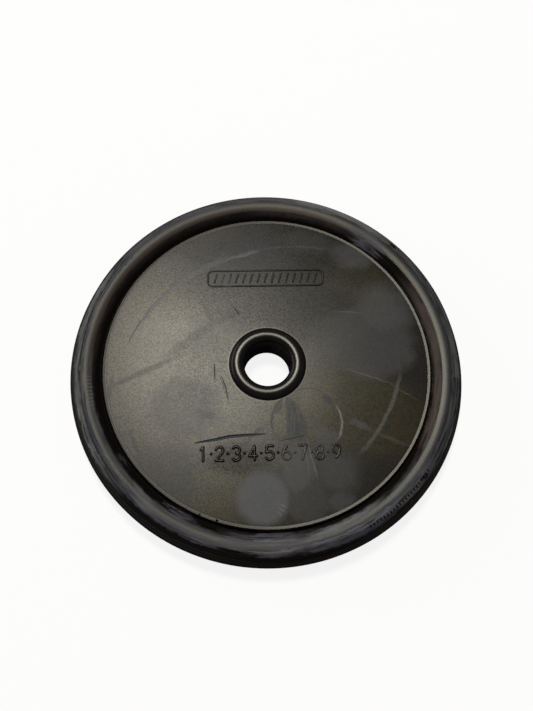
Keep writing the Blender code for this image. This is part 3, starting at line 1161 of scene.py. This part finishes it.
def moulded_rubber():
    """Black rubber with bloom, smears and a scuffed rim, and films of painted shade, painted light
    and painted reflection.
    """
    finish = Finish("moulded_rubber")
    rubber = RubberMap(finish)
    bare_rubber(finish, rubber)
    # Matt black: lost shine, and painted shade on the side wall, the edge's west side, in the bore,
    # in the groove and over parts of the face
    finish.film(dull_and_shade_share(finish, rubber), DULL_BLACK_AND_SHADE)

    # Painted tint of the lamp's highlight, mottled, on the west of the face
    west = part_of(finish, rubber.loose, 0).rise(*WEST_FACE_FADE)
    highlight_tint = west * rubber.face * rubber.clouds.rise(*HIGHLIGHT_TINT_FADE) * rubber.speckle
    finish.film(highlight_tint * HIGHLIGHT_TINT_SHARE, RED_HIGHLIGHT_TINT)
    # Painted reflection: a thin blue film on the lip's flanks stands in for the blue sheen they
    # reflect
    lip_sides = rubber.ring(*LIP_OUTER_FADES).larger(rubber.ring(*LIP_INNER_FADES))
    finish.film(lip_sides * LIP_SHEEN_SHARE, BLUE_FILM_SHADE_AND_SHEEN)

    # Painted light: brown on the groove's outer flank, and a painted glow on the bore wall
    flank_light = rubber.rim_smears([], RIM_FLANK_LIGHT_BELTS) * between(rubber.streaky, *FLANK_LIGHT_SHARES)
    glow = patch(finish, rubber.unrolled, *BORE_GLOW) * rubber.radius.rise(*BORE_WALL_FADE)
    finish.film(flank_light.larger(glow), BROWN_PAINTED_LIGHT)

    violet = rubber.patches(rubber.loose, VIOLET_PATCHES) * rubber.open_face * rubber.patchy
    rim_violet = rubber.rim_smears(RIM_VIOLET_PATCHES, RIM_VIOLET_BELTS) * rubber.streaky
    finish.film(violet.larger(rim_violet), RIM_VIOLET)

    bloom = rubber.patches(rubber.loose, BLOOM_PATCHES) * rubber.open_face * rubber.patchy
    stain = patch(finish, rubber.place, *ROUND_STAIN) * rubber.patchy
    rim_bloom = rubber.rim_smears(RIM_BLOOM_PATCHES, RIM_BLOOM_BELTS) * rubber.streaky
    finish.film(bloom.larger(stain).larger(rim_bloom), BLOOM_GREY)

    finish.film(ink_marks(finish, rubber), INK_GREY)
    # Dark belts beside the crest, painted shade inside the gouge and scratches on the face, and a
    # line along the side wall
    rim_dark = rubber.rim_smears([], RIM_DARK_BELTS) * rubber.streaky
    cut = rubber.ring(*CUT_FADES) * rubber.height.rise(*CUT_DEPTH_FADE) * CUT_SHADE_SHARE
    wall_line = belt(finish, rubber.unrolled, *WALL_LINE_BELT) * rubber.topside
    finish.film(rim_dark.larger(cut).larger(wall_line), BLUE_FILM_SHADE_AND_SHEEN)

    rim_pale = rubber.rim_smears(RIM_PALE_PATCHES, [])
    pale = pale_marks(finish, rubber).larger(rim_pale).larger(comb_marks(finish, rubber))
    finish.film(pale, PALE_SMEAR)
    # Black marks on the rim, and painted shade inside the tooth marks
    rim_black = rubber.patches(rubber.rim_place, RIM_BLACK_PATCHES) * rubber.topside
    finish.film(rim_black.larger(tooth_cut_shade(rubber)), DULL_BLACK_AND_SHADE)
    return finish.material


FLOOR_HALF_SIZE = 3.0
FLOOR_WHITE = (0.92, 0.93, 0.97)
FLOOR_GLOW = 0.86
FLOOR_SHADE_START = 0.064
FLOOR_SHADE_END = 0.095


def pale_floor():
    """A plain floor that the camera and reflections see as white, with a soft shadow kept."""
    shape = bmesh.new()
    bmesh.ops.create_grid(shape, x_segments=1, y_segments=1, size=FLOOR_HALF_SIZE)
    floor = piece_from("floor", shape)
    finish = Finish("white_floor")
    camera, glossy, clear = [
        finish.node("ShaderNodeLightPath", output=name)
        for name in ("Is Camera Ray", "Is Glossy Ray", "Is Transmission Ray")
    ]
    place = finish.node("ShaderNodeTexCoord", output=3)
    from_part = finish.vector("LENGTH", place, output=1)
    open_floor = from_part.rise(FLOOR_SHADE_START, FLOOR_SHADE_END)
    seen = camera.larger(glossy.larger(clear) * open_floor)
    matt = finish.node("ShaderNodeBsdfDiffuse", None, {"Color": (*FLOOR_WHITE, 1.0)})
    glow = finish.node("ShaderNodeEmission", None, {"Color": (1.0, 1.0, 1.0, 1.0)})
    blend = finish.node("ShaderNodeMixShader", None, {0: seen * FLOOR_GLOW, 1: matt, 2: glow})
    output = finish.tree.nodes["Material Output"]
    finish.tree.links.new(blend.socket, output.inputs["Surface"])
    finish.tree.nodes.remove(finish.shader)
    floor.data.materials.append(finish.material)


def add_camera():
    lens = bpy.data.cameras.new("camera")
    lens.lens = CAMERA_LENS_MM
    lens.sensor_width = CAMERA_SENSOR_MM
    lens.clip_start = 0.01
    camera = bpy.data.objects.new("camera", lens)
    bpy.context.collection.objects.link(camera)
    ahead = Vector(CAMERA_AIM) - Vector(CAMERA_PLACE)
    roll = Quaternion((0.0, 0.0, 1.0), CAMERA_ROLL)
    camera.location = CAMERA_PLACE
    camera.rotation_mode = "QUATERNION"
    camera.rotation_quaternion = ahead.to_track_quat("-Z", "Y") @ roll
    bpy.context.scene.camera = camera


# Soft lamps: name, azimuth and elevation in degrees, distance, width, depth, brightness, colour
SOFT_LAMPS = [
    ("key", 106.8, 68.9, 2.2, 0.46, 0.46, 58.0, (1.0, 0.95, 0.79)),
    ("left_fill", 160.0, 18.0, 1.4, 1.60, 0.60, 2.0, (1.0, 0.98, 0.95)),
]
WORLD_GREY = (0.15, 0.15, 0.155)


def add_soft_lamp(name, azimuth, elevation, distance, width, depth, brightness, colour):
    """An oval lamp that faces the part, with about this brightness to look at."""
    lamp = bpy.data.lights.new(name, "AREA")
    lamp.shape = "ELLIPSE"
    lamp.size = width
    lamp.size_y = depth
    lamp.energy = brightness * math.pi * width * depth
    lamp.color = colour
    box = bpy.data.objects.new(name, lamp)
    bpy.context.collection.objects.link(box)
    turn = math.radians(azimuth) - WEAR_TURN
    rise = math.radians(elevation)
    direction = Vector((
        math.cos(turn) * math.cos(rise),
        math.sin(turn) * math.cos(rise),
        math.sin(rise),
    ))
    box.location = direction * distance + Vector((0.0, 0.0, HUB_DEPTH))
    box.rotation_mode = "QUATERNION"
    box.rotation_quaternion = (-direction).to_track_quat("-Z", "Y")


def set_up_light():
    for lamp in SOFT_LAMPS:
        add_soft_lamp(*lamp)
    world = bpy.data.worlds.new("studio")
    world.use_nodes = True
    sky = world.node_tree.nodes["Background"]
    sky.inputs["Color"].default_value = (*WORLD_GREY, 1.0)
    sky.inputs["Strength"].default_value = 1.0
    bpy.context.scene.world = world
    bpy.context.scene.view_settings.view_transform = "Standard"


add_camera()
moulding = dressed_moulding()
moulding.data.materials.clear()
moulding.data.materials.append(moulded_rubber())
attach(moulding, "root")
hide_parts("diaphragm")
pale_floor()
set_up_light()

bpy.context.view_layer.update()
